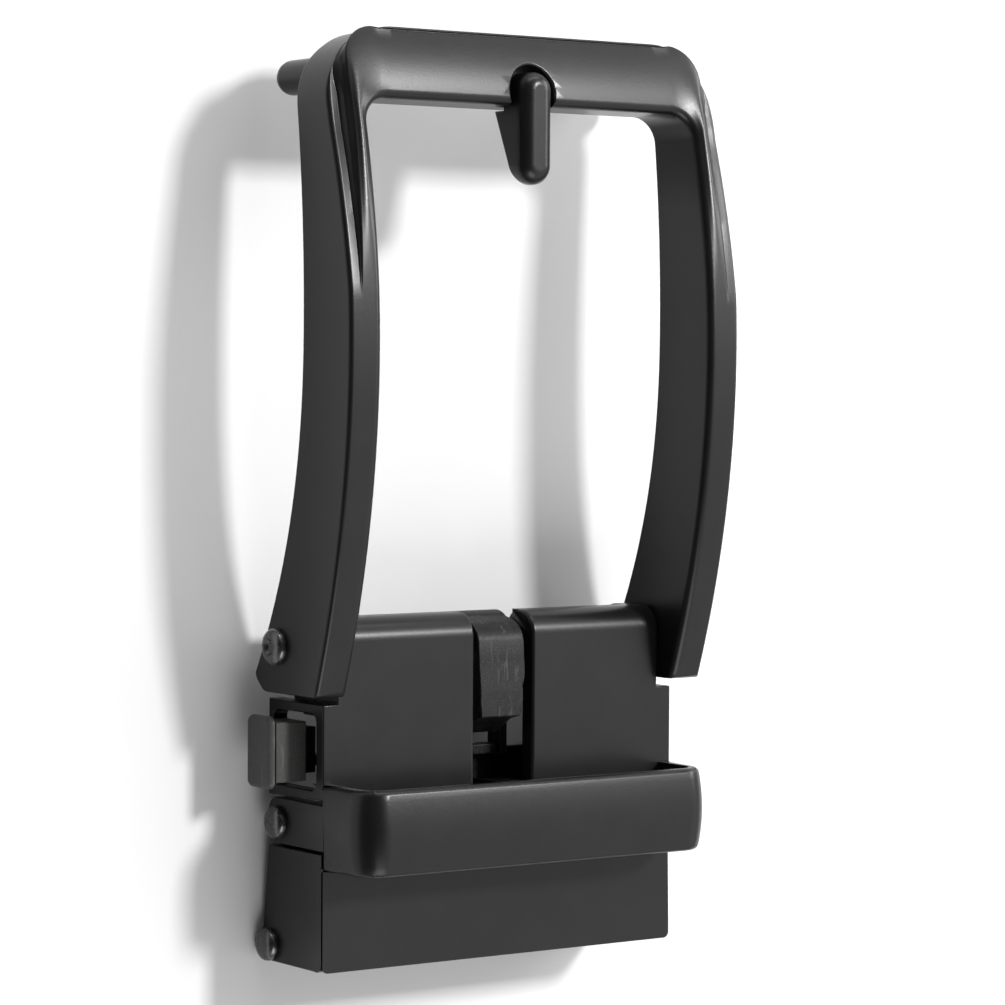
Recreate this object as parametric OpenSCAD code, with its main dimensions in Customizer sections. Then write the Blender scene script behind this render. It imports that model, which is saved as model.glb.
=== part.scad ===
// Ratchet belt buckle: a slotted housing with a keeper band, a bowed frame that
// hinges on it, a spring pawl with a side tab, and a clamp for the strap's end.
// X runs across the strap, Y along it towards the end bar, Z out of the front.
// The buckle lies on its back: Z = 0 is the surface under it, and Y = 0 is the
// edge where the strap enters.

/* [Housing] */
// Width of the housing over its side walls
housing_w = 38; // [36:0.5:42]
// Height of the shoulders on which the frame's arms end
shoulder_y = 23.5; // [23:0.1:23.8]
// Height of the front plate's upper edge
plate_top = 31; // [30.8:0.1:32]
// Thickness of the front plate
plate_t = 1.6; // [1.2:0.1:1.8]
// Radius of the rounded upper edge of the front plate
top_r = 2.1; // [1.8:0.1:2.4]
// Radius of the plate's two lower corners
plate_corner_r = 0.6; // [0.3:0.1:1]
// Depth of the lip behind that rounded edge, from the front face
lip_depth = 3.3; // [2.8:0.1:3.3]
// Depth of the side walls, from the front face
wall_depth = 9.1; // [8.8:0.1:9.3]
// Thickness of the side walls
wall_t = 1.5; // [1.2:0.1:1.6]
// Depth of the upper ears that carry the hinge pin, from the front face
upper_ear_depth = 7.4; // [7:0.1:8]
// Thickness of those upper ears
upper_ear_t = 1.5; // [1.2:0.1:2]
// Lower edge of the ears that carry the middle pin
ear_bottom = 10.65; // [10.6:0.05:10.8]
// Lower edge of the slit above those ears
slit_y = 14.75; // [14.6:0.05:14.8]
// Width of the slit at its closed front end
slit_w = 0.4; // [0.3:0.05:0.45]
// Width of the slit at the walls' back edge
slit_tail = 0.15; // [0.1:0.05:0.4]
// Distance from the front face to the slit's closed end
slit_end = 0.15; // [0.1:0.05:1]
// Radius of the rounded back corners of the ears
ear_corner_r = 1.2; // [1:0.1:1.3]

/* [Slot] */
// Width of the slot in the front plate
slot_w = 6.4; // [6.2:0.1:7]
// Offset of the slot's middle from the middle of the buckle
slot_x = 0.15; // [0:0.05:0.2]
// Lower end of the slot
slot_y = 14.2; // [13.8:0.1:14.4]
// Height of the ledge at the slot's lower end
ledge_h = 1.3; // [1:0.1:1.5]
// Width of that ledge
ledge_w = 2.9; // [2:0.1:3]
// Depth of that ledge, from the front face
ledge_depth = 5.2; // [3:0.1:5.5]

/* [Side window] */
// Lower edge of the window that the tab passes through
window_y = 15.9; // [15.8:0.1:16]
// Height of that window
window_h = 6.7; // [6.6:0.1:6.8]
// Distance from the front face to the window's front edge
window_front = 1.2; // [1:0.1:1.5]
// Distance from the front face to the window's back edge
window_back = 8.3; // [8.2:0.1:8.5]
// Radius of the window's corners
window_r = 0.8; // [0.5:0.1:1]

/* [Keeper band] */
// Lower edge of the keeper band
keeper_y = 8.95; // [8.6:0.05:9.2]
// Height of the keeper band along the strap
keeper_h = 7.55; // [7:0.05:7.8]
// Clear height under the band for the strap
keeper_gap = 5.6; // [4:0.1:6]
// Thickness of the band in front of the strap
keeper_t = 1.2; // [1:0.1:1.4]
// Thickness of the band's legs beside the strap
keeper_leg = 1.35; // [1.1:0.05:1.4]
// Outer radius of the band's two bends
keeper_r = 2.8; // [2.4:0.1:3.6]

/* [Frame] */
// Width of the frame over its arms
frame_w = 42; // [41.5:0.1:46]
// Width of each arm, seen from the front
arm_w = 3.3; // [3:0.1:3.6]
// Height of the end bar's outer edge
frame_top = 82.35; // [78:0.05:90]
// Width of the end bar, seen from the front
bar_w = 6.35; // [5:0.05:7]
// Height of the arms' lower ends
arm_foot = 24.3; // [24.2:0.1:24.6]
// Radius of the frame's outer corners
corner_r = 7; // [5:0.1:8]
// Radius of the window's upper corners
window_corner_r = 2.4; // [1.5:0.1:3]
// Radius of each arm's lower end round the hinge pin
foot_r = 4.64; // [4.4:0.02:4.7]
// Height above the front face of the bow's highest point
bow_rise = 7.28; // [6.5:0.1:8]
// Place along the strap of that highest point
bow_y = 55; // [52:0.5:58]
// Radius of the bow's front face
bow_r = 86; // [80:1:100]
// Depth below the front face of the arms' shallowest back edge
back_rise = 0.45; // [0.2:0.05:0.8]
// Place along the strap of that shallowest point
back_y = 57.5; // [55:0.5:60]
// How far the back edge sinks from there to the arms' lower ends
foot_sag = 8.8; // [7.5:0.1:9]
// How far the back edge sinks from there to the end bar's outer edge
bar_sag = 2.2; // [1.5:0.1:2.6]

/* [Shoulder relief] */
// Distance below the window's upper edge where the relief has faded out
relief_fade = 16.7; // [12:0.1:20]
// Distance below the window's upper edge where the relief has its full depth
relief_start = 2.5; // [1:0.1:6]
// Width of the lowered ledge along the outer edge
ledge_width = 1.1; // [0.8:0.05:1.5]
// Drop of the ledge's outer edge below the front face
ledge_drop = 1.2; // [0.8:0.05:1.4]
// Further drop of the ledge's inner edge, which makes the groove
groove_drop = 0.2; // [0.1:0.05:0.3]
// Radius of the front face's outer corners, tighter than the corners of the wall below it
band_r = 3; // [2:0.1:4]
// Turn of the outer corner, in degrees, at which the ledge has narrowed to nothing
ledge_turn = 34; // [25:1:45]
// Turn of the outer corner, in degrees, at which the front face has come down to the wall
relief_turn = 82; // [75:1:86]
// Width of the stepped wall between the groove and the front face
rise_width = 0.7; // [0.4:0.05:0.8]
// Radius of the rounded front edge round the window
inner_edge_r = 0.55; // [0.3:0.05:0.7]

/* [Guide posts] */
// Diameter of the posts behind the frame's corners
post_d = 3.1; // [2.8:0.1:3.6]
// Distance between the axes of the two posts
post_span = 36.8; // [36:0.1:37.4]
// Distance of the posts' axes from the end bar's outer edge
post_inset = 4.1; // [3.9:0.05:4.3]
// Depth of the posts' tips, from the housing's front face
post_reach = 7.65; // [7:0.05:10]

/* [Tongue] */
// Width of the tongue
tongue_w = 3.4; // [3:0.1:3.8]
// Distance of the tongue's upper end from the end bar's outer edge
tongue_inset = 3.3; // [3:0.05:3.5]
// Length of the tongue along the strap
tongue_len = 9.95; // [8:0.05:13]
// Height of the tongue's front above the end bar's front at the window
tongue_proud = 0.63; // [0.3:0.01:1]
// Clearance round the tongue in the notch of the end bar
notch_gap = 0.6; // [0.3:0.05:0.8]
// Depth of the notch's floor below the end bar's front at the window
notch_depth = 2.8; // [2.4:0.1:3.2]
// Depth of the tongue's web at the end bar, below the tongue's front
web_depth = 4.8; // [4:0.1:5]
// Depth of the tongue at its tip
tip_depth = 2.6; // [2:0.1:3]

/* [Pins] */
// Place of the hinge pin along the strap
hinge_y = 28.4; // [28.3:0.05:28.5]
// Depth of the hinge pin's axis, from the front face
hinge_depth = 4.5; // [4.4:0.05:4.6]
// Diameter of the hinge pin
hinge_pin_d = 2; // [1.6:0.1:2]
// Diameter of the hinge pin's heads
hinge_head_d = 3.3; // [3:0.1:3.6]
// Place of the middle pin along the strap
stop_y = 12.55; // [12.5:0.05:12.65]
// Depth of the middle pin's axis
stop_depth = 7.5; // [7.4:0.05:7.6]
// Place of the clamp pin along the strap
clamp_pin_y = 1.5; // [1.4:0.05:1.8]
// Depth of the clamp pin's axis
clamp_pin_depth = 8.9; // [8.7:0.05:9]
// Diameter of the middle pin and the clamp pin
pin_d = 1.6; // [1.4:0.1:1.6]
// Diameter of their heads
head_d = 3; // [2.8:0.1:3.2]
// Height of every head above its seat
head_h = 0.85; // [0.6:0.05:1]

/* [Pawl and tab] */
// Width of the pawl in the slot
pawl_w = 5; // [4.6:0.1:5.2]
// Height of the pawl's biting edge
pawl_tip = 21.6; // [21.4:0.1:22]
// How far the biting edge stands out of the front face
pawl_bite = 0.35; // [0.2:0.05:0.5]
// Outer diameter of the pawl's barrel round the hinge pin
barrel_d = 5; // [4.8:0.1:5.2]
// Height of the cross shaft's upper side
shaft_top = 18.7; // [18.5:0.1:18.8]
// Thickness of the cross shaft along the strap
shaft_h = 0.95; // [0.8:0.05:1.2]
// Distance from the front face to the cross shaft's front
shaft_front = 4.2; // [4:0.1:4.4]
// Depth of the cross shaft
shaft_t = 1.6; // [1.2:0.1:1.7]
// Gap between the cross shaft and the pawl's web
web_gap = 1.1; // [0.8:0.05:1.4]
// Height of the pawl's web along the strap
web_h = 2.4; // [2:0.1:3]
// Thickness of the arm that joins the web to the shaft
arm_t = 0.8; // [0.6:0.1:1]
// Lower edge of the pawl's tail, which the spring bears on
tail_low = 14.3; // [14.3:0.1:15]
// Reach of the tail from the middle of the buckle towards the right
tail_reach = 6.4; // [6:0.1:6.6]
// Reach of the tab's end face from the middle of the buckle
tab_reach = 22.6; // [22:0.1:23.5]
// Thickness of the tab's cap
cap_t = 0.6; // [0.5:0.05:0.8]
// Height of the tab's cap along the strap
cap_h = 6.4; // [6:0.1:6.6]
// Depth of the tab's cap
cap_depth = 3.95; // [3.8:0.05:4.2]
// Width of the groove between the cap and the shank
groove_w = 0.25; // [0.2:0.05:0.3]
// Depth of that groove
groove_d = 0.3; // [0.2:0.05:0.4]
// Height of the tab's shank along the strap
shank_h = 5.3; // [5:0.1:5.5]
// Depth of the tab's shank
shank_depth = 3.5; // [3.3:0.1:3.6]
// Distance from the front face to the shank's front
shank_front = 3.3; // [3.2:0.05:3.5]
// How far the shank reaches into the side window
shank_in = 0.35; // [0.2:0.05:0.5]
// Middle of the tab along the strap
tab_y = 19.2; // [19.1:0.05:19.3]

/* [Clamp] */
// Thickness of the clamp's side plates
flange_t = 1.2; // [1:0.1:1.3]
// Thickness of the clamp's back plate
back_t = 0.8; // [0.6:0.05:0.85]
// Depth of the back plate's outer face at the pin's end
back_depth = 10.15; // [10:0.05:10.3]
// Width of the gap that the clamp leaves for the strap's end
mouth_gap = 4.1; // [3.6:0.1:4.2]
// Height of the jaw's teeth
tooth_h = 0.7; // [0.4:0.1:0.9]
// Distance from one tooth to the next
tooth_pitch = 0.8; // [0.6:0.05:0.85]
// Distance of the jaw's lower side below the clamp pin's axis
jaw_low = 1.2; // [1.1:0.05:1.3]
// Diameter of the jaw's sleeve round the clamp pin
sleeve_d = 2.2; // [2.2:0.1:2.6]
// Width of each knuckle on the middle pin
knuckle_w = 3.2; // [2:0.1:4]
// Diameter of the knuckles
knuckle_d = 3.2; // [2.8:0.1:3.2]

/* [Spring] */
// Diameter of the spring's wire
wire_d = 0.5; // [0.4:0.05:0.6]
// Number of turns round the middle pin
turns = 5; // [3:1:7]

/* [Clearances] */
// Radial clearance of a moving piece on its pin
pin_gap = 0.05; // [0.03:0.01:0.1]
// Radial clearance of a pin that is held fast
seat_gap = 0.02; // [0.01:0.01:0.05]
// Gap between faces that pass each other
side_gap = 0.25; // [0.2:0.01:0.3]
// Gap between a head and the face that it sits on
head_gap = 0.03; // [0.02:0.01:0.1]

/* [Hidden] */
$fn = 64;
eps = 0.01;

// Z of the housing's front face: the clamp pin's heads touch the ground
face_z = clamp_pin_depth + head_d / 2;
half_w = housing_w / 2;
half_frame = frame_w / 2;
arm_in = half_frame - arm_w;
window_top = frame_top - bar_w;
// The upper part of the housing fits between the arms
neck_half = arm_in - side_gap;
wall_in = half_w - wall_t;
flange_top = ear_bottom - side_gap;
flange_in = half_w - flange_t;
knuckle_out = wall_in - side_gap;
keeper_rise = keeper_gap + keeper_t;
slot_left = slot_x - slot_w / 2;
slot_right = slot_x + slot_w / 2;
post_y = frame_top - post_inset;
tongue_top = frame_top - tongue_inset;
tongue_tip = tongue_top - tongue_len;
relief_low = window_top - relief_fade;
relief_full = window_top - relief_start;
web_low = shaft_top + web_gap;
web_back = shaft_front + shaft_t + 0.1;

// Z from a depth below the front face
function at_depth(d) = face_z - d;

// A flat outline in Y and Z, drawn out along X from x0 to x1
module along_x(x0, x1) {
    translate([x0, 0, 0])
        rotate([90, 0, 90])
            linear_extrude(height = x1 - x0)
                children();
}

// A round bar along X from x0 to x1 at height y and depth d
module bar_x(dia, x0, x1, y, d) {
    translate([x0, y, at_depth(d)])
        rotate([0, 90, 0])
            cylinder(d = dia, h = x1 - x0);
}

// A rectangle in Y and Z between two heights and two depths
module depth_box(y0, y1, d0, d1) {
    translate([y0, at_depth(d1)])
        square([y1 - y0, d1 - d0]);
}

// A flat shape with its outer corners rounded by true arcs
module round_box(y0, y1, d0, d1, r) {
    union() {
        depth_box(y0 + r, y1 - r, d0, d1);
        depth_box(y0, y1, d0 + r, d1 - r);
        for (y = [y0 + r, y1 - r])
            for (d = [d0 + r, d1 - r])
                translate([y, at_depth(d)])
                    circle(r = r);
    }
}

// The same piece on both sides
module both_sides() {
    children();
    mirror([1, 0, 0])
        children();
}

// The front plate's section: flat, with a rounded upper edge and a lip behind it
module plate_section() {
    bend_y = plate_top - top_r;
    depth_box(0, bend_y, 0, plate_t);
    difference() {
        union() {
            translate([bend_y, at_depth(top_r)])
                circle(r = top_r);
            depth_box(bend_y, plate_top, top_r, lip_depth);
        }
        translate([bend_y, at_depth(top_r)])
            circle(r = top_r - plate_t + eps);
        depth_box(bend_y - top_r - 1, bend_y, plate_t, lip_depth + 1);
        depth_box(bend_y - eps, plate_top - plate_t, plate_t, lip_depth + 1);
    }
}

// The plate with the shoulders and the rounded lower corners
module front_plate() {
    r = plate_corner_r;
    difference() {
        along_x(-half_w, half_w)
            plate_section();
        both_sides()
            translate([half_w - r, 0, 0])
                linear_extrude(height = face_z + 1)
                    difference() {
                        translate([0, -1])
                            square([r + 1, r + 1]);
                        translate([0, r])
                            circle(r = r);
                    }
        both_sides()
            translate([neck_half, shoulder_y, at_depth(lip_depth + 1)])
                cube([housing_w, plate_top, lip_depth + 2]);
    }
}

// What is cut away from the lower side edges, so that they meet the clamp's
// side plates in a mitre
module mitre_cutter() {
    mitre = flange_t + side_gap / 2;
    translate([0, -1, 0])
        rotate([-90, 0, 0])
            linear_extrude(height = flange_top + side_gap + 1)
                polygon([[half_w, -face_z], [half_w + 1, -face_z + 1],
                         [half_w + 1, -face_z + plate_t + 1],
                         [half_w - mitre, -face_z + plate_t + 1],
                         [half_w - mitre, -face_z + mitre]]);
}

// The upper side wall, outlined in Y and Z
module wall_outline() {
    depth_box(slit_y, shoulder_y, 0, wall_depth);
}

// The lower ear with its rounded back corners
module ear_outline() {
    intersection() {
        round_box(ear_bottom, slit_y, -2, wall_depth, ear_corner_r);
        depth_box(ear_bottom, slit_y, 0, wall_depth);
    }
}

// The slit that parts the ears from the walls: a thin wedge, widest in front
module slit() {
    along_x(wall_in, half_w + 1)
        polygon([[slit_y, at_depth(slit_end)],
                 [slit_y + slit_w, at_depth(slit_end)],
                 [slit_y + slit_tail, at_depth(wall_depth)],
                 [slit_y + slit_tail, at_depth(wall_depth + 1)],
                 [slit_y, at_depth(wall_depth + 1)]]);
}

module side_wall() {
    along_x(wall_in, half_w) {
        wall_outline();
        ear_outline();
    }
}

// The upper ear, which fits between the arms and carries the hinge pin
module upper_ear() {
    ear_r = plate_top - hinge_y;
    along_x(neck_half - upper_ear_t, neck_half)
        difference() {
            union() {
                depth_box(shoulder_y - wall_t, plate_top - top_r, 0, upper_ear_depth);
                depth_box(plate_top - top_r - eps, plate_top, top_r, hinge_depth);
                intersection() {
                    translate([plate_top - top_r, at_depth(top_r)])
                        circle(r = top_r);
                    depth_box(0, plate_top, 0, top_r + eps);
                }
                translate([hinge_y, at_depth(hinge_depth)])
                    circle(r = ear_r);
            }
            depth_box(0, shoulder_y - wall_t, -1, wall_depth);
        }
}

// The step that joins the wide lower walls to the upper ears
module shoulder_web() {
    translate([neck_half - upper_ear_t, shoulder_y - wall_t, at_depth(upper_ear_depth)])
        cube([half_w - neck_half + upper_ear_t, wall_t, upper_ear_depth]);
}

// The keeper band: a low arch over the strap, seen along Y
module keeper_band() {
    translate([0, keeper_y + keeper_h, 0])
        rotate([90, 0, 0])
            linear_extrude(height = keeper_h)
                difference() {
                    arch(half_w, face_z - plate_t / 2, face_z + keeper_rise, keeper_r);
                    arch(half_w - keeper_leg, face_z - plate_t, face_z + keeper_gap,
                         keeper_r - keeper_t);
                }
}

// A rectangle with its two upper corners rounded
module arch(half, low, high, r) {
    translate([-half, low])
        square([2 * half, high - low - r]);
    translate([-half + r, low])
        square([2 * (half - r), high - low]);
    for (side = [-1, 1])
        translate([side * (half - r), high - r])
            circle(r = r);
}

// The ledge in the lower right corner of the slot
module slot_ledge() {
    along_x(slot_right - ledge_w, slot_right)
        depth_box(slot_y, slot_y + ledge_h, plate_t / 4, ledge_depth);
}

module housing() {
    color("#3a3a3c")
        difference() {
            union() {
                difference() {
                    union() {
                        front_plate();
                        both_sides() {
                            side_wall();
                            upper_ear();
                            shoulder_web();
                        }
                    }
                    translate([slot_left, slot_y, at_depth(lip_depth + 1)])
                        cube([slot_w, plate_top, lip_depth + 2]);
                }
                slot_ledge();
                translate([slot_right - ledge_w, slot_y - 1, at_depth(ledge_depth)])
                    cube([ledge_w, 1 + eps, ledge_depth - plate_t / 2]);
                keeper_band();
            }
            both_sides() {
                mitre_cutter();
                slit();
            }
            along_x(-half_w - 1, -wall_in + 1)
                round_box(window_y, window_y + window_h, window_front, window_back, window_r);
            bar_x(hinge_pin_d + 2 * seat_gap, -half_w, half_w, hinge_y, hinge_depth);
            bar_x(pin_d + 2 * seat_gap, -half_w - 1, half_w + 1, stop_y, stop_depth);
        }
}

// Front and back surfaces of the bowed frame, as functions of the place along it
function bow_front(y) = face_z + bow_rise - pow(y - bow_y, 2) / (2 * bow_r);
function bow_back(y) = face_z - back_rise
    - (y < back_y ? foot_sag * pow((back_y - y) / (back_y - arm_foot), foot_power)
                  : bar_sag * pow((y - back_y) / (frame_top - back_y), 2));
foot_power = 2.33;
tongue_front = bow_front(window_top) + tongue_proud;
notch_floor = bow_front(window_top) - notch_depth;

// Rows along the left half of the frame, from the arm's foot to the middle of the bar:
// [wall's front, front face's edge, inner point, wall's back, share of the drop, ledge]
arm_steps = 26;
corner_steps = 18;
// Least widths of the ledge and of the whole relief, so that their points stay apart
least_ledge = 0.06;
least_relief = 0.2;
// How far the end bar's back edge lies inside its front edge
top_lean = 0.25;
// From 0 to 1, flat at both ends
function ease(t) = let (u = max(0, min(1, t))) u * u * (3 - 2 * u);
bar_steps = 4;
arm_end = frame_top - corner_r;
function relief_share(y) =
    max(0, min(1, (y - relief_low) / (relief_full - relief_low)));
function inner_y(y) = arm_foot + (y - arm_foot)
    * (window_top - window_corner_r - arm_foot) / (arm_end - arm_foot);
arm_rows = [for (i = [0 : arm_steps])
    let (y = arm_foot + (arm_end - arm_foot) * i / arm_steps,
         share = relief_share(y),
         relief = ledge_width + rise_width * (0.3 + 0.7 * share))
        [[-half_frame, y], [-half_frame + relief, y], [-arm_in, inner_y(y)],
         [-half_frame, y], share, ledge_width]];
// The corner's middle, and from it the front face's edge as a straight side, a round
// corner and a straight top
corner_mid = [-half_frame + corner_r, arm_end];
band_side = corner_r - ledge_width - rise_width;
band_mid = [band_r - band_side, corner_r - band_r];
function band_reach(turn) =
    let (way = [-cos(turn), sin(turn)],
         side = band_side / max(0.001, cos(turn)),
         top = corner_r / max(0.001, sin(turn)),
         near = band_mid * way)
    side * sin(turn) <= band_mid[1] ? side
    : top * cos(turn) <= -band_mid[0] ? top
    : near + sqrt(near * near - band_mid * band_mid + band_r * band_r);
corner_rows = [for (i = [1 : corner_steps])
    let (turn = 90 * i / corner_steps,
         way = [-cos(turn), sin(turn)],
         edge = band_reach(turn) - least_relief * ease((turn - 60) / 25),
         back = corner_r - top_lean * ease((turn - 20) / 40))
        [corner_mid + way * corner_r, corner_mid + way * edge,
         [-arm_in + window_corner_r * (1 - cos(turn)),
          window_top - window_corner_r + window_corner_r * sin(turn)],
         corner_mid + way * back,
         ease((relief_turn - turn) / 22),
         max(least_ledge, ledge_width * ease((ledge_turn - turn) / (ledge_turn - 4)))]];
bar_start = -half_frame + corner_r;
bar_in_start = -arm_in + window_corner_r;
bar_rows = [for (i = [1 : bar_steps])
    let (x = bar_start * (1 - i / bar_steps))
        [[x, frame_top], [x, frame_top - least_relief],
         [bar_in_start * (1 - i / bar_steps), window_top],
         [x, frame_top - top_lean], 0, least_ledge]];
half_rows = concat(arm_rows, corner_rows, bar_rows);
// The right half mirrors the left one
function mirrored(p) = [-p[0], p[1]];
function flip(row) = [mirrored(row[0]), mirrored(row[1]), mirrored(row[2]), mirrored(row[3]),
                      row[4], row[5]];
frame_rows = concat(half_rows, [for (i = [len(half_rows) - 2 : -1 : 0]) flip(half_rows[i])]);

// Points across the arm: the ledge, the stepped rise to the front face, and the
// rounded window edge, then the back
function mix(p, q, t) = p + (q - p) * t;
function at_front(p, drop) = [p[0], p[1], bow_front(p[1]) - drop];
function at_back(p) = [p[0], p[1], bow_back(p[1])];
function ledge_end(row) =
    let (wall = row[0])
    wall[1] <= arm_end ? [wall[0] + (wall[0] < 0 ? 1 : -1) * row[5], wall[1]]
    : abs(wall[0]) <= -corner_mid[0] ? [wall[0], wall[1] - row[5]]
    : let (middle = [wall[0] < 0 ? corner_mid[0] : -corner_mid[0], corner_mid[1]],
           way = middle - wall)
        wall + way * (row[5] / norm(way));
function section(row) =
    let (wall = row[0],
         edge = row[1],
         inner = row[2],
         drop = ledge_drop * row[4],
         groove = groove_drop * row[4] * row[5] / ledge_width,
         foot = ledge_end(row),
         round = inner_edge_r / norm(inner - edge))
    [at_front(wall, drop),
     at_front(foot, drop + groove),
     at_front(mix(foot, edge, 0.35), 0.65 * drop),
     at_front(mix(foot, edge, 0.6), 0.55 * drop),
     at_front(edge, 0),
     at_front(mix(inner, edge, round), 0),
     at_front(mix(inner, edge, 0.3 * round), 0.3 * inner_edge_r),
     at_front(inner, inner_edge_r),
     at_back(inner),
     at_back(row[3])];

// A closed skin over a list of sections with equal numbers of points
module skin(sections) {
    n = len(sections[0]);
    rows = len(sections);
    points = [for (s = sections) for (p = s) p];
    sides = [for (i = [0 : rows - 2]) for (j = [0 : n - 1])
        let (k = (j + 1) % n)
            each [[i * n + j, (i + 1) * n + j, (i + 1) * n + k],
                  [i * n + j, (i + 1) * n + k, i * n + k]]];
    first = [for (j = [0 : n - 3]) [n - 1, j, j + 1]];
    last = [for (j = [0 : n - 3])
        [rows * n - 1, (rows - 1) * n + j + 1, (rows - 1) * n + j]];
    polyhedron(points = points, faces = concat(sides, first, last));
}

// One guide post with a round tip
module guide_post() {
    tip_z = at_depth(post_reach);
    root_z = bow_back(post_y) + 1;
    translate([post_span / 2, post_y, tip_z + post_d / 2]) {
        cylinder(d = post_d, h = root_z - tip_z - post_d / 2);
        sphere(d = post_d);
    }
}

// What is cut away so that each arm's foot is round about the hinge pin
module foot_cutter() {
    along_x(-half_frame - 1, half_frame + 1)
        difference() {
            depth_box(arm_foot - 2, hinge_y - foot_r / 2, hinge_depth, hinge_depth + 2 * foot_r);
            translate([hinge_y, at_depth(hinge_depth)])
                circle(r = foot_r);
        }
}

// The notch that the tongue sits in, open towards the window
module tongue_notch() {
    r = tongue_w / 2 + notch_gap;
    translate([0, tongue_top - tongue_w / 2, notch_floor])
        cylinder(r = r, h = bow_rise);
    translate([-r, window_top - 1, notch_floor])
        cube([2 * r, tongue_top - tongue_w / 2 - window_top + 1, bow_rise]);
}

module frame() {
    color("#3c3c3f")
        difference() {
            union() {
                skin([for (row = frame_rows) section(row)]);
                both_sides()
                    guide_post();
            }
            tongue_notch();
            foot_cutter();
            bar_x(hinge_pin_d + 2 * pin_gap, -half_frame - 1, half_frame + 1,
                  hinge_y, hinge_depth);
        }
}

// The tongue: a round-ended prong on a tapering web
module tongue() {
    r = tongue_w / 2;
    front = tongue_front;
    color("#3a3a3d")
        intersection() {
            translate([0, 0, front - web_depth - 1])
                linear_extrude(height = web_depth + 2) {
                    translate([0, tongue_top - r])
                        circle(r = r);
                    translate([0, tongue_tip + r])
                        circle(r = r);
                    translate([-r, tongue_tip + r])
                        square([tongue_w, tongue_top - tongue_tip - tongue_w]);
                }
            along_x(-r - 1, r + 1)
                polygon([[tongue_tip - 1, front - tip_depth + 1],
                         [tongue_tip + r, front - tip_depth],
                         [window_top - notch_gap / 2, front - web_depth],
                         [window_top - notch_gap / 2, notch_floor + head_gap],
                         [tongue_top + 1, notch_floor + head_gap],
                         [tongue_top + 1, front - tip_depth / 2],
                         [tongue_top - r, front],
                         [tongue_tip + r, front],
                         [tongue_tip - 1, front - tip_depth / 2]]);
        }
}

// A low domed head on the +X side of a face at x
module head(dia, x, y, d) {
    rim = head_h / 3;
    dome = head_h - rim;
    dome_r = (pow(dia / 2, 2) + pow(dome, 2)) / (2 * dome);
    translate([x, y, at_depth(d)])
        rotate([0, 90, 0])
            rotate_extrude()
                intersection() {
                    union() {
                        square([dia / 2, rim]);
                        translate([0, head_h - dome_r])
                            circle(r = dome_r);
                    }
                    square([dia / 2, head_h]);
                }
}

// A pin along X with a head on each side
module headed_pin(dia, head_dia, seat_x, y, d) {
    bar_x(dia, -seat_x - eps, seat_x + eps, y, d);
    both_sides()
        head(head_dia, seat_x, y, d);
}

module hinge_pin() {
    color("#5a5a5c")
        headed_pin(hinge_pin_d, hinge_head_d, half_frame + head_gap, hinge_y, hinge_depth);
}

module stop_pin() {
    color("#5a5a5c")
        headed_pin(pin_d, head_d, half_w + head_gap, stop_y, stop_depth);
}

module clamp_pin() {
    color("#5a5a5c")
        headed_pin(pin_d, head_d, half_w + head_gap, clamp_pin_y, clamp_pin_depth);
}

// The pawl's side view: a bulged front plate, a barrel and a heavy web
module pawl_section() {
    difference() {
        union() {
            polygon([[pawl_tip, at_depth(-pawl_bite)],
                     [pawl_tip + 2.4, at_depth(-pawl_bite * 0.5)],
                     [hinge_y - 1.6, at_depth(0.1)],
                     [hinge_y, at_depth(0.2)],
                     [hinge_y + 0.8, at_depth(0.5)],
                     [hinge_y + 1.3, at_depth(1)],
                     [hinge_y + 1.7, at_depth(1.7)],
                     [hinge_y + 2, at_depth(3)],
                     [hinge_y - 2, at_depth(hinge_depth)],
                     [web_low + web_h, at_depth(web_back)],
                     [web_low, at_depth(web_back)],
                     [web_low, at_depth(shaft_front)],
                     [pawl_tip - 0.7, at_depth(2)],
                     [pawl_tip - 0.3, at_depth(0.9)]]);
            translate([hinge_y, at_depth(hinge_depth)])
                circle(d = barrel_d);
        }
        translate([hinge_y, at_depth(hinge_depth)])
            circle(d = hinge_pin_d + 2 * pin_gap);
    }
}

// The arm at the pawl's right side, the shaft that runs out to the tab, and the
// tail below the shaft
module pawl_shaft() {
    shaft_back = shaft_front + shaft_t;
    arm_out = slot_w / 2 - 0.05;
    along_x(arm_out - arm_t, arm_out)
        depth_box(shaft_top - shaft_h, pawl_tip, shaft_front - 0.5, shaft_back);
    along_x(arm_out - 2 * arm_t, arm_out)
        depth_box(web_low, pawl_tip, shaft_front - 0.5, shaft_back);
    along_x(-half_w + eps, arm_out)
        depth_box(shaft_top - shaft_h, shaft_top, shaft_front, shaft_back);
    along_x(-arm_out, tail_reach)
        depth_box(tail_low, shaft_top - shaft_h / 2, shaft_back - side_gap, shaft_back + arm_t / 2);
}

module release_tab() {
    cap_front = shank_front - (cap_depth - shank_depth) / 2;
    cap_end = -tab_reach + cap_t;
    shank_end = -half_w + shank_in;
    low = tab_y - shank_h / 2;
    high = tab_y + shank_h / 2;
    back = shank_front + shank_depth;
    along_x(-tab_reach, cap_end)
        round_box(tab_y - cap_h / 2, tab_y + cap_h / 2, cap_front, cap_front + cap_depth, 0.7);
    along_x(cap_end - eps, cap_end + groove_w + eps)
        depth_box(low + groove_d, high - groove_d, shank_front + groove_d, back - groove_d);
    along_x(cap_end + groove_w, shank_end)
        depth_box(low, high, shank_front, back);
    // A slimmer neck joins the shank to the shaft behind the wall
    along_x(shank_end - eps, -half_w + wall_t + 0.4)
        depth_box(low + 2 * groove_d, high - 2 * groove_d, shaft_front, back - groove_d);
}

module pawl() {
    color("#6a6a6a") {
        along_x(-pawl_w / 2, pawl_w / 2)
            pawl_section();
        pawl_shaft();
        release_tab();
    }
}

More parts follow.
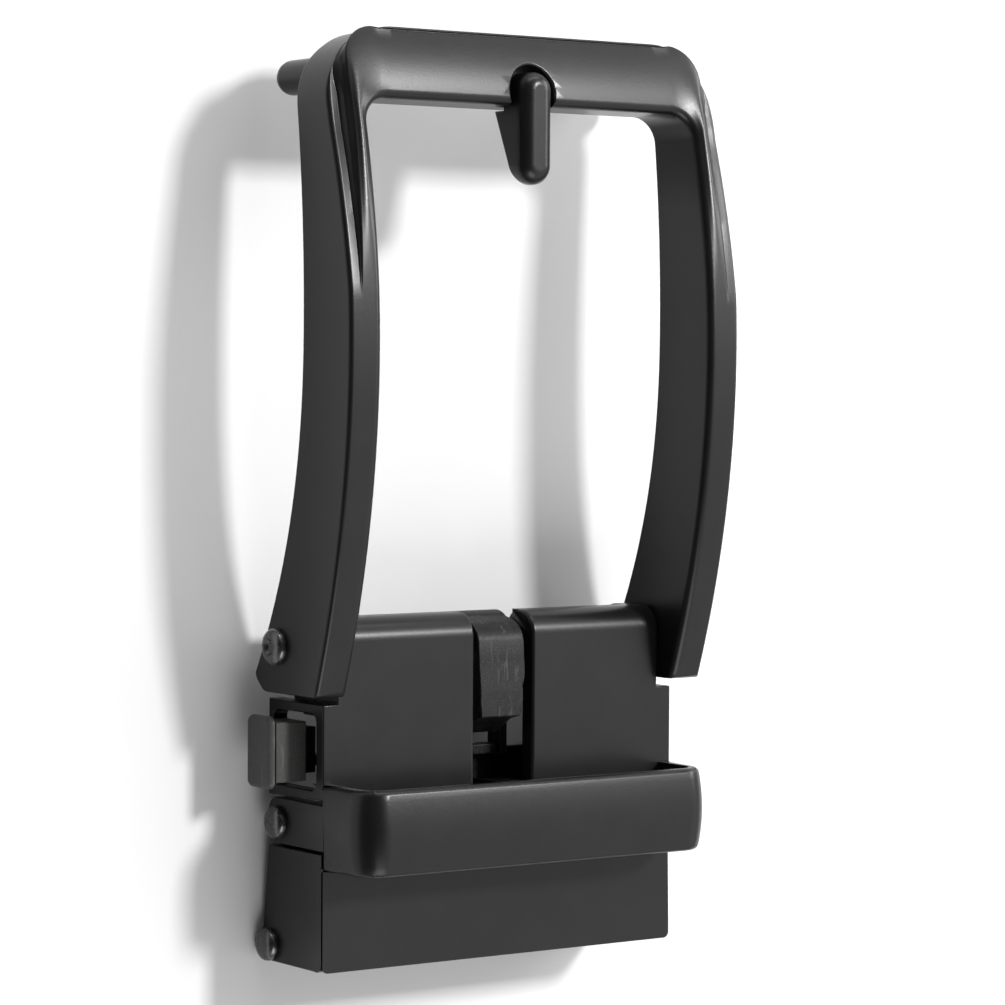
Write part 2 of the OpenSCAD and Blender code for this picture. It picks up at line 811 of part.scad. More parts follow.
// The spring's line: a leg towards the front plate, the turns round the pin, and
// a leg that rises behind the pawl
coil_r = pin_d / 2 + wire_d / 2 + 0.15;
coil_pitch = wire_d + 0.08;
turn_steps = 16;
leg_tilt = 10;
coil_angle = turns * 360 + 90 + leg_tilt;
coil_steps = turns * turn_steps + 4;
coil_x = -coil_pitch * coil_angle / 720;
front_leg_depth = plate_t + side_gap + wire_d / 2 + 0.05;
back_leg_y = 20.4;
function coil_point(a) =
    [coil_x + coil_pitch * a / 360,
     stop_y + coil_r * sin(270 - a),
     at_depth(stop_depth - coil_r * cos(270 - a))];
coil_end = coil_point(coil_angle);
spring_line = concat(
    [[coil_x - 0.1, stop_y - coil_r, at_depth(front_leg_depth)],
     [coil_x - 0.05, stop_y - coil_r, at_depth(stop_depth - 1.5)]],
    [for (i = [0 : coil_steps]) coil_point(coil_angle * i / coil_steps)],
    [[coil_end[0] + 0.05, back_leg_y, coil_end[2] + (back_leg_y - coil_end[1]) * tan(leg_tilt)]]);

module pawl_spring() {
    color("#8a8a8a")
        wire(spring_line, wire_d / 2, 6);
}

// A round wire along a line that stays nearly square to X
module wire(line, r, sides) {
    n = len(line);
    function ahead(i) = let (v = line[min(i + 1, n - 1)] - line[max(i - 1, 0)]) v / norm(v);
    function ring(i) =
        let (t = ahead(i),
             u0 = cross(t, [1, 0, 0]),
             u = u0 / norm(u0),
             v = cross(t, u))
            [for (k = [0 : sides - 1])
                line[i] + r * (cos(360 * k / sides) * u + sin(360 * k / sides) * v)];
    skin([for (i = [0 : n - 1]) ring(i)]);
}

// Side plate of the clamp: straight edges, a slanted back and an eye for its pin
module flange_outline() {
    r = 0.8;
    difference() {
        union() {
            polygon([[0, at_depth(side_gap)], [flange_top, at_depth(side_gap)],
                     [flange_top, at_depth(wall_depth)],
                     [clamp_pin_y, at_depth(back_depth)], [0, at_depth(back_depth - 1)]]);
            translate([clamp_pin_y, at_depth(clamp_pin_depth)])
                circle(r = head_d / 2 - 0.05);
        }
        difference() {
            depth_box(-1, r, -1, side_gap + r);
            translate([r, at_depth(side_gap + r)])
                circle(r = r);
        }
    }
}

module clamp_flange() {
    mitre_z = at_depth(side_gap);
    difference() {
        along_x(flange_in, half_w)
            flange_outline();
        translate([0, flange_top + 1, 0])
            rotate([90, 0, 0])
                linear_extrude(height = flange_top + 2)
                    polygon([[half_w, mitre_z], [half_w, mitre_z + 1],
                             [flange_in - 1, mitre_z + 1],
                             [flange_in - 1, mitre_z - flange_t - 1]]);
    }
}

module back_plate() {
    plate_end = stop_y - knuckle_d / 2;
    plate_start = clamp_pin_y + 1.6;
    upper = wall_depth + 0.2;
    slope = (back_depth - upper) / flange_top;
    lower = upper + (flange_top - plate_start) * slope;
    along_x(-flange_in - eps, flange_in + eps)
        polygon([[plate_start, at_depth(lower)], [flange_top, at_depth(upper)],
                 [flange_top, at_depth(upper - back_t)],
                 [plate_start, at_depth(lower - back_t)]]);
    along_x(-knuckle_out, knuckle_out)
        depth_box(flange_top - eps, plate_end, upper - back_t, upper);
}

module clamp_knuckle() {
    along_x(knuckle_out - knuckle_w, knuckle_out)
        union() {
            translate([stop_y, at_depth(stop_depth)])
                circle(d = knuckle_d);
            depth_box(stop_y - knuckle_d / 2, stop_y, stop_depth, wall_depth + 0.2);
        }
}

module clamp() {
    color("#3a3a3c")
        difference() {
            union() {
                both_sides() {
                    clamp_flange();
                    clamp_knuckle();
                }
                back_plate();
            }
            bar_x(pin_d + 2 * pin_gap, -half_w, half_w, stop_y, stop_depth);
            bar_x(pin_d + 2 * seat_gap, -half_w - 1, half_w + 1, clamp_pin_y, clamp_pin_depth);
        }
}

// Toothed bar on the clamp pin: ridges across the strap
module clamp_jaw() {
    teeth = 3;
    pitch = tooth_pitch;
    low = clamp_pin_y - jaw_low;
    tip = plate_t + mouth_gap;
    base = tip + tooth_h;
    color("#77777a")
        difference() {
            along_x(-flange_in + side_gap, flange_in - side_gap) {
                depth_box(low, low + teeth * pitch, base - eps, clamp_pin_depth);
                translate([clamp_pin_y, at_depth(clamp_pin_depth)])
                    intersection() {
                        circle(d = sleeve_d);
                        translate([-2, -0.9])
                            square([4, 4]);
                    }
                for (i = [0 : teeth - 1])
                    polygon([[low + i * pitch, at_depth(base)],
                             [low + (i + 1) * pitch, at_depth(base)],
                             [low + (i + 1) * pitch, at_depth(tip)]]);
            }
            bar_x(pin_d + 2 * seat_gap, -half_w, half_w, clamp_pin_y, clamp_pin_depth);
        }
}

housing();
frame();
tongue();
hinge_pin();
pawl();
stop_pin();
pawl_spring();
clamp();
clamp_jaw();
clamp_pin();
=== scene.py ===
import math

import bmesh
import bpy
from mathutils import Matrix, Vector


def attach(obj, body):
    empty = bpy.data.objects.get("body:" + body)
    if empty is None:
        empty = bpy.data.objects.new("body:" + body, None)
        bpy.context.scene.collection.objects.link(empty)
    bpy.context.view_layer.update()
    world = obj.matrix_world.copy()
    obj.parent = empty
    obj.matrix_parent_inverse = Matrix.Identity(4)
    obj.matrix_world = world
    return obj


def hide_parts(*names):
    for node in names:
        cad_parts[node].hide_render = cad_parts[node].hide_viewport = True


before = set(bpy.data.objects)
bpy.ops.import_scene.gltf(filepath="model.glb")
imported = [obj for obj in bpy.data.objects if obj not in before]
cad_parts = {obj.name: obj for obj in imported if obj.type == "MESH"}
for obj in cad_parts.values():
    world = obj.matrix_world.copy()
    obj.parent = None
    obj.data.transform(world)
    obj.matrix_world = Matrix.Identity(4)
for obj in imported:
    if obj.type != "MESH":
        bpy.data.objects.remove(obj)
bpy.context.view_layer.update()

# Sizes are in millimetres in the part's own frame; MM turns them into metres. The outer
# sizes of the housing and the frame and the places of the pins are read from their nodes.
MM = 0.001


def box_of(node):
    """Lowest and highest corner of one of the frame's nodes."""
    points = [v.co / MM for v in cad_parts[node].data.vertices]
    return [[round(pick(p[i] for p in points), 3) for i in range(3)] for pick in (min, max)]


def axis_of(node):
    """Y and Z of the middle of a node that is round about X."""
    low, high = box_of(node)
    return (low[1] + high[1]) / 2, (low[2] + high[2]) / 2


HALF_W, PLATE_TOP, KEEPER_TOP = box_of("housing")[1]
KEEPER_RISE = 6.8                # from the housing's front face to the keeper band's
FACE = KEEPER_TOP - KEEPER_RISE
KEEPER = (8.95, 16.5)            # lower and upper edge of the keeper band
KEEPER_R = 2.8
KEEPER_LEG, KEEPER_T = 1.35, 1.2       # thickness of the band's legs and of its front
TOP_R, PLATE_CORNER_R = 2.1, 0.6       # of the plate's top edge and of its lower corners
HALF_FRAME, FRAME_TOP = box_of("frame")[1][:2]
ARM_FOOT = box_of("frame")[0][1]
ARM_W = 3.3
BAR_W = 6.35
CORNER_R = 7.0
WINDOW_R = 2.4
WINDOW_TOP = FRAME_TOP - BAR_W
HINGE_PIN_R, PIN_R = 1.0, 0.8
PIN_GAP = 0.05


# Mesh helpers

def new_object(name, bm):
    mesh = bpy.data.meshes.new(name)
    bmesh.ops.recalc_face_normals(bm, faces=bm.faces[:])
    bm.to_mesh(mesh)
    bm.free()
    obj = bpy.data.objects.new(name, mesh)
    bpy.context.scene.collection.objects.link(obj)
    return obj


def apply_modifiers(obj):
    graph = bpy.context.evaluated_depsgraph_get()
    mesh = bpy.data.meshes.new_from_object(obj.evaluated_get(graph))
    obj.modifiers.clear()
    obj.data = mesh


def rounded(points, radii, seg=3):
    """Rounds each corner of a closed outline, flat or in space; every corner gives
    seg + 1 points."""
    n = len(points)
    out = []
    for i in range(n):
        p = Vector(points[i])
        a = Vector(points[i - 1]) - p
        b = Vector(points[(i + 1) % n]) - p
        la, lb = a.length, b.length
        a.normalize()
        b.normalize()
        turn = math.pi - math.acos(max(-1.0, min(1.0, a.dot(b))))
        limit = 0.45 * min(la, lb)
        if turn < 0.03:
            t = min(0.5 * radii[i], limit)
            out += [p + a * t * (1 - 2 * k / seg) if k * 2 <= seg else p + b * t * (2 * k / seg - 1)
                    for k in range(seg + 1)]
            continue
        t = min(radii[i] * math.tan(turn / 2), limit)
        r = t / math.tan(turn / 2)
        c = p + (a + b).normalized() * (r / math.cos(turn / 2))
        v0, v1 = p + a * t - c, p + b * t - c
        out += [c + (v0 * math.sin(turn * (1 - k / seg)) + v1 * math.sin(turn * k / seg))
                / math.sin(turn) for k in range(seg + 1)]
    return out


def loft(bm, rings):
    """Skins closed rings of equal length and caps both ends."""
    rows = [[bm.verts.new(Vector(p) * MM) for p in ring] for ring in rings]
    n = len(rows[0])
    for a, b in zip(rows, rows[1:]):
        for i in range(n):
            j = (i + 1) % n
            bm.faces.new((a[i], a[j], b[j], b[i]))
    bm.faces.new(rows[0])
    bm.faces.new(list(reversed(rows[-1])))


def prism_x(name, outline, x0, x1):
    bm = bmesh.new()
    loft(bm, [[(x, y, z) for y, z in outline] for x in (x0, x1)])
    return new_object(name, bm)


def circle(across, up, r, seg=48):
    return [(across + r * math.cos(2 * math.pi * k / seg), up + r * math.sin(2 * math.pi * k / seg))
            for k in range(seg)]


def lathe_x(bm, profile, y, z, seg=36):
    """Turns a list of (x, radius) about an axis along X."""
    loft(bm, [[(x, py, pz) for py, pz in circle(y, z, r, seg)] for x, r in profile])


def cut(obj, cutters):
    for tool in cutters:
        mod = obj.modifiers.new("cut", "BOOLEAN")
        mod.operation = "DIFFERENCE"
        mod.solver = "EXACT"
        mod.object = tool
    apply_modifiers(obj)
    for tool in cutters:
        bpy.data.objects.remove(tool)


def round_edges(obj, width_at, seg=3, min_turn=28.0, max_turn=110.0):
    """Rounds convex edges; width_at(middle of the edge, its direction) is in millimetres."""
    bm = bmesh.new()
    bm.from_mesh(obj.data)
    layer = bm.edges.layers.float.new("bevel_weight_edge")
    widths = {}
    for e in bm.edges:
        if len(e.link_faces) != 2 or not e.is_convex:
            continue
        if min_turn < math.degrees(e.calc_face_angle(0)) < max_turn:
            a, b = (v.co / MM for v in e.verts)
            widths[e] = width_at((a + b) / 2, b - a)
    widest = max(widths.values())
    for e, w in widths.items():
        e[layer] = w / widest
    bm.to_mesh(obj.data)
    bm.free()
    mod = obj.modifiers.new("edges", "BEVEL")
    mod.limit_method = "WEIGHT"
    mod.width = widest * MM
    mod.segments = seg
    mod.use_clamp_overlap = False
    apply_modifiers(obj)


def smooth(obj, angle=38.0):
    obj.data.polygons.foreach_set("use_smooth", [True] * len(obj.data.polygons))
    obj.data.set_sharp_from_angle(angle=math.radians(angle))
    mod = obj.modifiers.new("normals", "WEIGHTED_NORMAL")
    mod.keep_sharp = True
    mod.weight = 90


def from_node(node, name):
    """A copy of a node's mesh with its flat faces merged, free to be shaped further."""
    bm = bmesh.new()
    bm.from_mesh(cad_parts[node].data)
    bmesh.ops.remove_doubles(bm, verts=bm.verts[:], dist=2e-6)
    bmesh.ops.dissolve_limit(bm, angle_limit=math.radians(0.8), verts=bm.verts[:],
                             edges=bm.edges[:], use_dissolve_boundaries=False)
    return new_object(name, bm)


def finish_piece(obj, node, body, mat):
    smooth(obj)
    obj.data.materials.clear()
    obj.data.materials.append(mat)
    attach(obj, body)
    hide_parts(node)


# Camera, from the photograph's own perspective: to the left of the buckle, looking across it

CAMERA_TURNS = (35.0, 2.17, 0.31)         # degrees to the left, up the length, and of roll
CAMERA_AT = (-188.47, 53.28, 269.01)      # X, Y and the height above the front face
FOCAL, PHOTO_SIDE = 3664.0, 1005.0        # in pixels
FILM = 36.0


def add_camera():
    az, el, roll = (math.radians(turn) for turn in CAMERA_TURNS)
    d = Vector((-math.sin(az) * math.cos(el), math.sin(el), math.cos(az) * math.cos(el)))
    fwd = -d
    right = fwd.cross(Vector((0, 1, 0))).normalized()
    up = right.cross(fwd)
    c, s = math.cos(roll), math.sin(roll)
    r2 = right * c + up * s
    u2 = up * c - right * s
    data = bpy.data.cameras.new("camera")
    data.sensor_fit = "AUTO"
    data.sensor_width = FILM
    data.lens = FOCAL * FILM / PHOTO_SIDE
    data.clip_start = 0.01
    data.clip_end = 50.0
    cam = bpy.data.objects.new("camera", data)
    bpy.context.scene.collection.objects.link(cam)
    place = Matrix((r2, u2, d)).transposed().to_4x4()
    place.translation = (Vector(CAMERA_AT) + Vector((0, 0, FACE))) * MM
    cam.matrix_world = place
    bpy.context.scene.camera = cam


LIT_POINT = (0, 40, 10)


def add_area(name, toward, dist, size_x, size_y, power):
    """A rectangular light facing the buckle's middle, with its width along X."""
    data = bpy.data.lights.new(name, "AREA")
    data.shape = "RECTANGLE"
    data.size = size_x
    data.size_y = size_y
    data.energy = power
    obj = bpy.data.objects.new(name, data)
    bpy.context.scene.collection.objects.link(obj)
    back = Vector(toward).normalized()
    across = (Vector((1, 0, 0)) - back * back.x).normalized()
    place = Matrix((across, back.cross(across), back)).transposed().to_4x4()
    place.translation = Vector(LIT_POINT) * MM + back * dist
    obj.matrix_world = place


# Materials. Texture scales are per metre: 5000 is a grain of about 0.2 mm.

MOST = (0.3, 0.7)      # most of a noise's values lie between these
COAT = ((0.0045, 0.0045, 0.005), (0.006, 0.006, 0.0065))
COAT_ROUGH, COAT_GRAIN = 0.3, 0.14
PAINTED_LIGHT_SPAN = (-23.0, -18.5)          # the release tab, along X, where a lighter tone is painted on as painted light, and how much lighter it is
PAINTED_LIGHT_TONE = (0.04, 0.0395, 0.039)
PAINTED_LIGHT_FADE = 0.1


def principled(name):
    mat = bpy.data.materials.new(name)
    mat.use_nodes = True
    return mat, mat.node_tree.nodes["Principled BSDF"], mat.node_tree


def noise(tree, scale, detail=3.0, stretch=(1, 1, 1), rough=0.5):
    coord = tree.nodes.new("ShaderNodeTexCoord")
    mapping = tree.nodes.new("ShaderNodeMapping")
    mapping.inputs["Scale"].default_value = stretch
    tex = tree.nodes.new("ShaderNodeTexNoise")
    tex.inputs["Scale"].default_value = scale
    tex.inputs["Detail"].default_value = detail
    tex.inputs["Roughness"].default_value = rough
    tree.links.new(coord.outputs["Object"], mapping.inputs["Vector"])
    tree.links.new(mapping.outputs["Vector"], tex.inputs["Vector"])
    return tex.outputs["Fac"]


def spread(tree, value, low, high, out_low, out_high):
    node = tree.nodes.new("ShaderNodeMapRange")
    for name, v in (("From Min", low), ("From Max", high), ("To Min", out_low), ("To Max", out_high)):
        node.inputs[name].default_value = v
    tree.links.new(value, node.inputs["Value"])
    return node.outputs["Result"]


def combine(tree, operation, first, second):
    node = tree.nodes.new("ShaderNodeMath")
    node.operation = operation
    tree.links.new(first, node.inputs[0])
    tree.links.new(second, node.inputs[1])
    return node.outputs[0]


def blend_colour(tree, factor, first, second, blend="MIX"):
    """Mixes two colours, each one either a constant or another node's output."""
    node = tree.nodes.new("ShaderNodeMix")
    node.data_type = "RGBA"
    node.blend_type = blend
    for name, colour in (("A", first), ("B", second)):
        if isinstance(colour, bpy.types.NodeSocket):
            tree.links.new(colour, node.inputs[name])
        else:
            node.inputs[name].default_value = (*colour, 1)
    tree.links.new(factor, node.inputs["Factor"])
    return node.outputs["Result"]


def bump(tree, bsdf, height, strength, distance):
    node = tree.nodes.new("ShaderNodeBump")
    node.inputs["Strength"].default_value = strength
    node.inputs["Distance"].default_value = distance * MM
    tree.links.new(height, node.inputs["Height"])
    tree.links.new(node.outputs["Normal"], bsdf.inputs["Normal"])


def coating(name, dark, light, rough, grain):
    """Satin black coating: cloudy tone, fine grain and slightly uneven gloss."""
    mat, bsdf, tree = principled(name)
    bsdf.inputs["Specular IOR Level"].default_value = 0.27
    clouds = spread(tree, noise(tree, 260), 0.35, 0.65, 0, 1)
    tree.links.new(blend_colour(tree, clouds, dark, light), bsdf.inputs["Base Color"])
    tree.links.new(spread(tree, noise(tree, 4200, 3), *MOST, rough - 0.02, rough + 0.02),
                   bsdf.inputs["Roughness"])
    bump(tree, bsdf, noise(tree, 5200, 2), grain, 0.03)
    return mat


def worn_steel(name, dark, light, rough, along, metal=0.85, painted_light=None):
    """Dark steel with a drawn grain along one direction, thin scratches and fine specks.
    Between the two places along X given last, a lighter tone is painted on as painted light."""
    mat, bsdf, tree = principled(name)
    grain = noise(tree, 2600, 3, along, 0.7)
    streaks = spread(tree, noise(tree, 2400, 2, (1.0, 0.12, 0.6), 0.6), 0.6, 0.75, 0, 0.5)
    specks = spread(tree, noise(tree, 7000, 2), 0.58, 0.72, 0, 0.3)
    body = blend_colour(tree, spread(tree, grain, *MOST, 0, 1), dark, [1.35 * c for c in dark])
    tone = blend_colour(tree, combine(tree, "MAXIMUM", streaks, specks), body, light)
    # Painted light: a lighter tone added over the release tab, fading in and out along X
    if painted_light:
        coord = tree.nodes.new("ShaderNodeTexCoord")
        split = tree.nodes.new("ShaderNodeSeparateXYZ")
        tree.links.new(coord.outputs["Object"], split.inputs[0])
        low, high = painted_light
        first = spread(tree, split.outputs["X"], (low - PAINTED_LIGHT_FADE) * MM, low * MM, 0, 1)
        last = spread(tree, split.outputs["X"], high * MM, (high + PAINTED_LIGHT_FADE) * MM, 1, 0)
        tone = blend_colour(tree, combine(tree, "MULTIPLY", first, last), tone, PAINTED_LIGHT_TONE, "ADD")
    tree.links.new(tone, bsdf.inputs["Base Color"])
    tree.links.new(spread(tree, grain, *MOST, rough - 0.07, rough + 0.07),
                   bsdf.inputs["Roughness"])
    bsdf.inputs["Metallic"].default_value = metal
    bsdf.inputs["Specular IOR Level"].default_value = 0.14 if metal < 0.5 else 0.5
    bump(tree, bsdf, grain, 0.2, 0.02)
    return mat


black_casting = coating("black_casting", *COAT, COAT_ROUGH, COAT_GRAIN)
black_frame = coating("black_frame", *COAT, COAT_ROUGH, COAT_GRAIN)
gunmetal = worn_steel("gunmetal", (0.005, 0.0049, 0.0048), (0.08, 0.077, 0.074), 0.42,
                      (1, 0.3, 1), 0.0, PAINTED_LIGHT_SPAN)
rivet_steel = worn_steel("rivet_steel", (0.08, 0.08, 0.082), (0.16, 0.16, 0.16), 0.25, (1, 1, 1))
spring_wire = worn_steel("spring_wire", (0.2, 0.2, 0.2), (0.34, 0.34, 0.34), 0.3, (0.1, 1, 1))


# The frame: a section with rounded corners, carried along the arms and the end bar

BOW_Y, BOW_RISE, BOW_R = 55.0, 7.28, 86.0      # the front is highest at BOW_Y
BACK_Y, BACK_RISE = 57.5, 0.45                 # and the back at BACK_Y
FOOT_SAG, FOOT_POWER = 8.8, 2.33               # the back's fall towards the foot and the bar
BAR_SAG = 2.2
LEDGE_W = 1.1          # width, drop and groove of the relief at the shoulders
LEDGE_DROP = 1.2
GROOVE = 0.2
RISE_W = 0.7           # width of the rise beside the ledge, and the share it starts with
RISE_START = 0.3
RISE_SHAPE = ((0.35, 0.65), (0.6, 0.55))       # share of the rise's width, share of the drop
RELIEF = (WINDOW_TOP - 16.7, WINDOW_TOP - 2.5)     # where it begins and where it is full
BAND_R = 3.0           # radius of the front face's outer corners
# Turns of the outer corner, in degrees, at which each of these is at nothing and in full
LEDGE_TURNS = (34, 4)
DROP_TURNS = (82, 60)
TOP_EDGE_TURNS = (72, 82)
TOP_LEAN_TURNS = (20, 60)
LEAST_LEDGE = 0.06
LEAST_RELIEF = 0.2
TOP_LEAN = 0.25        # how far the end bar's back edge lies inside its front edge
FOOT_ROWS = ((0, 0.16), (0.04, 0.07), (0.15, 0))    # distance from the foot's end, inset
ARM_ROWS, TURN_ROWS, BAR_ROWS = 64, 36, 3
LAST_ROW_X = 3.4       # beside the notch, so that it is cut out of a plain run of the bar
CORNER_RADII = (0.42, 0.09, 0.09, 0.09, 0.26, 0.7, 0.3, 0.3)    # in frame_section's order
CORNER_SEGMENTS = 4
CROWN = (0.08, 0.2)    # crown of the front face: share of its width, and the most it gets
CROWN_ROWS = 5
CROWNED_EDGE = 0.5     # how much rounder the crown makes the front face's edge


def bow_front(y):
    return FACE + BOW_RISE - (y - BOW_Y) ** 2 / (2 * BOW_R)


def bow_back(y):
    if y < BACK_Y:
        return FACE - BACK_RISE - FOOT_SAG * ((BACK_Y - y) / (BACK_Y - ARM_FOOT)) ** FOOT_POWER
    return FACE - BACK_RISE - BAR_SAG * ((y - BACK_Y) / (FRAME_TOP - BACK_Y)) ** 2


def ease(value, none, full):
    """0 at none, 1 at full and a smooth run between them."""
    t = max(0.0, min(1.0, (value - none) / (full - none)))
    return t * t * (3 - 2 * t)


def band_reach(turn):
    """Distance from the middle of the outer corner to the front face's edge: a straight
    side, a round corner and a straight top."""
    side, c, s = CORNER_R - LEDGE_W - RISE_W, math.cos(turn), math.sin(turn)
    mid = Vector((side - BAND_R, CORNER_R - BAND_R))
    if side * s <= mid.y * c:
        return side / c
    if CORNER_R * c <= mid.x * s:
        return CORNER_R / s
    near = mid.x * c + mid.y * s
    return near + math.sqrt(near ** 2 - mid.length_squared + BAND_R ** 2)


def frame_rows():
    """Rows as (front of the wall, foot of the rise, front face's edge, inner point, back of
    the wall, share of the relief's drop, share of the crown, inset of the whole section),
    the left half first."""
    arm_end = FRAME_TOP - CORNER_R
    inner_end = WINDOW_TOP - WINDOW_R
    arm_in = HALF_FRAME - ARM_W
    rows = []
    heights = [(ARM_FOOT + d, shrink) for d, shrink in FOOT_ROWS]
    heights += [(ARM_FOOT + (arm_end - ARM_FOOT) * i / ARM_ROWS, 0)
                for i in range(1, ARM_ROWS + 1)]
    for y, shrink in heights:
        yi = ARM_FOOT + (y - ARM_FOOT) * (inner_end - ARM_FOOT) / (arm_end - ARM_FOOT)
        share = max(0.0, min(1.0, (y - RELIEF[0]) / (RELIEF[1] - RELIEF[0])))
        relief = LEDGE_W + RISE_W * (RISE_START + (1 - RISE_START) * share)
        rows.append(((-HALF_FRAME, y), (-HALF_FRAME + LEDGE_W, y), (-HALF_FRAME + relief, y),
                     (-arm_in, yi), (-HALF_FRAME, y), share, ease(share, 0, 1), shrink))
    mid = Vector((-HALF_FRAME + CORNER_R, arm_end))
    for i in range(1, TURN_ROWS + 1):
        turned = 90 * i / TURN_ROWS
        a = math.radians(turned)
        way = Vector((-math.cos(a), math.sin(a)))
        ledge = max(LEAST_LEDGE, LEDGE_W * ease(turned, *LEDGE_TURNS))
        edge = band_reach(a) - LEAST_RELIEF * ease(turned, *TOP_EDGE_TURNS)
        back = CORNER_R - TOP_LEAN * ease(turned, *TOP_LEAN_TURNS)
        rows.append((mid + way * CORNER_R, mid + way * (CORNER_R - ledge), mid + way * edge,
                     (-arm_in + WINDOW_R * (1 - math.cos(a)), inner_end + WINDOW_R * math.sin(a)),
                     mid + way * back, ease(turned, *DROP_TURNS), 1.0, 0))
    for i in range(1, BAR_ROWS + 1):
        x, xi = (start + (-LAST_ROW_X - start) * i / BAR_ROWS for start in (mid.x, WINDOW_R - arm_in))
        rows.append(((x, FRAME_TOP), (x, FRAME_TOP - LEAST_LEDGE), (x, FRAME_TOP - LEAST_RELIEF),
                     (xi, WINDOW_TOP), (x, FRAME_TOP - TOP_LEAN), 0.0, 1.0, 0))
    return rows + [tuple((-q[0], q[1]) for q in row[:5]) + row[5:] for row in reversed(rows)]


def frame_section(wall, foot, edge, inner, back, share, crowned, shrink):
    """One rounded outline of the frame, from what a row of frame_rows says."""
    wall, foot, edge, inner, back = (Vector(p) for p in (wall, foot, edge, inner, back))
    drop, groove = LEDGE_DROP * share, GROOVE * share * (foot - wall).length / LEDGE_W
    crown = crowned * min(CROWN[1], CROWN[0] * (inner - edge).length)
    corners = [(wall, drop), (foot, drop + groove)]
    corners += [(foot.lerp(edge, t), part * drop) for t, part in RISE_SHAPE]
    corners += [(edge, crown), (inner, crown)]
    section = [Vector((p.x, p.y, bow_front(p.y) - down)) for p, down in corners]
    section += [Vector((p.x, p.y, bow_back(p.y))) for p in (inner, back)]
    radii = list(CORNER_RADII)
    radii[4] += CROWNED_EDGE * crowned
    points = rounded(section, radii, CORNER_SEGMENTS)
    # The crown's points go between the last one of the edge's corner and the first of the next
    near = 5 * (CORNER_SEGMENTS + 1)
    first, last = points[near - 1:near + 1]
    points[near:near] = [first.lerp(last, t) + Vector((0, 0, 4 * crown * t * (1 - t)))
                         for t in (k / (CROWN_ROWS + 1) for k in range(1, CROWN_ROWS + 1))]
    if shrink:
        middle = sum(section, Vector()) / len(section)
        points = [p + Vector((max(-shrink, min(shrink, middle.x - p.x)), 0,
                              max(-shrink, min(shrink, middle.z - p.z)))) for p in points]
    return points


POST_X, POST_Y, POST_R, POST_TIP = 18.4, FRAME_TOP - 4.1, 1.55, FACE - 7.65
POST_ROOT = 0.6        # how far the post reaches into the end bar


def guide_post(bm, x):
    """A post with a round tip, down from the back of the end bar."""
    heights = [(bow_back(POST_Y) + POST_ROOT, POST_R), (POST_TIP + POST_R, POST_R)]
    heights += [(POST_TIP + POST_R * (1 - math.sin(a)), POST_R * math.cos(a))
                for a in (math.radians(11 * k) for k in range(1, 9))]
    loft(bm, [[(px, py, z) for px, py in circle(x, POST_Y, r, 32)] for z, r in heights])


TONGUE_R = 1.7
TONGUE_TOP = FRAME_TOP - 3.3
TONGUE_TIP = TONGUE_TOP - 9.95
TONGUE_FRONT = bow_front(WINDOW_TOP) + 0.63
TONGUE_EDGE = 1.25     # radius of the prong's domed edge
WEB_DEPTH, TIP_DEPTH, TIP_EDGE = 4.8, 2.6, 1.6     # from the prong's front to its underside
NOTCH_R = TONGUE_R + 0.6
NOTCH_FLOOR = bow_front(WINDOW_TOP) - 2.8
NOTCH_EDGE = 0.3       # bevel of the notch's edge
BORE_R = HINGE_PIN_R + PIN_GAP
FOOT_HEEL, FOOT_TOE = 27.2, 25.6       # where the foot's back and front start to turn, in Y
FOOT_SOLE = (25.75, 2.12)              # the corner behind, and the height of the one at the end
FOOT_END_Z = 3.8
FOOT_RADII = (0, 0, 0.6, 1.0, 1.5, 0.8, 0, 0, 0)


def pill(r, low, high, seg=20):
    """Outline with round ends, in X and Y; low and high are the centres of the ends."""
    top = [(r * math.cos(a), high + r * math.sin(a)) for a in
           (math.pi * k / seg for k in range(seg + 1))]
    bottom = [(r * math.cos(a), low + r * math.sin(a)) for a in
              (math.pi + math.pi * k / seg for k in range(seg + 1))]
    return top + bottom


def make_frame():
    bm = bmesh.new()
    loft(bm, [frame_section(*row) for row in frame_rows()])
    obj = new_object("bowed_frame", bm)
    bm = bmesh.new()
    centre = TONGUE_TOP - TONGUE_R
    loft(bm, [[(x, y, z) for x, y in pill(NOTCH_R, WINDOW_TOP - 5, centre)]
              for z in (NOTCH_FLOOR, FACE + 12)])
    notch = new_object("notch", bm)
    # The foot's side outline is rounded in front and behind, inside its circle about the pin
    out, wide = ARM_FOOT - 1.3, HALF_FRAME + 2
    under, over = -2.0, 14.0
    end = ARM_FOOT - 0.01
    outline = [(out, under), (FOOT_HEEL + 0.2, under), (FOOT_HEEL, bow_back(FOOT_HEEL) + 0.01),
               FOOT_SOLE, (end, FOOT_END_Z), (end, bow_front(ARM_FOOT) + 0.01),
               (FOOT_TOE, bow_front(FOOT_TOE) + 0.01), (FOOT_TOE, over), (out, over)]
    foot = prism_x("foot", rounded(outline, FOOT_RADII, 6), -wide, wide)
    bore = prism_x("bore", circle(*axis_of("hinge_pin"), BORE_R), -wide, wide)
    cut(obj, [notch, foot, bore])

    def width_at(p, along):
        on_notch = abs(p.x) < NOTCH_R + 0.1 and p.y > WINDOW_TOP + 0.4 and p.z > NOTCH_FLOOR + 1
        return NOTCH_EDGE if on_notch and abs(p.z - bow_front(p.y)) < 0.3 else 0.0
    round_edges(obj, width_at)
    bm = bmesh.new()
    bm.from_mesh(obj.data)
    for side in (-1, 1):
        guide_post(bm, side * POST_X)
    bmesh.ops.recalc_face_normals(bm, faces=bm.faces[:])
    bm.to_mesh(obj.data)
    bm.free()
    finish_piece(obj, "frame", "frame_body", black_frame)


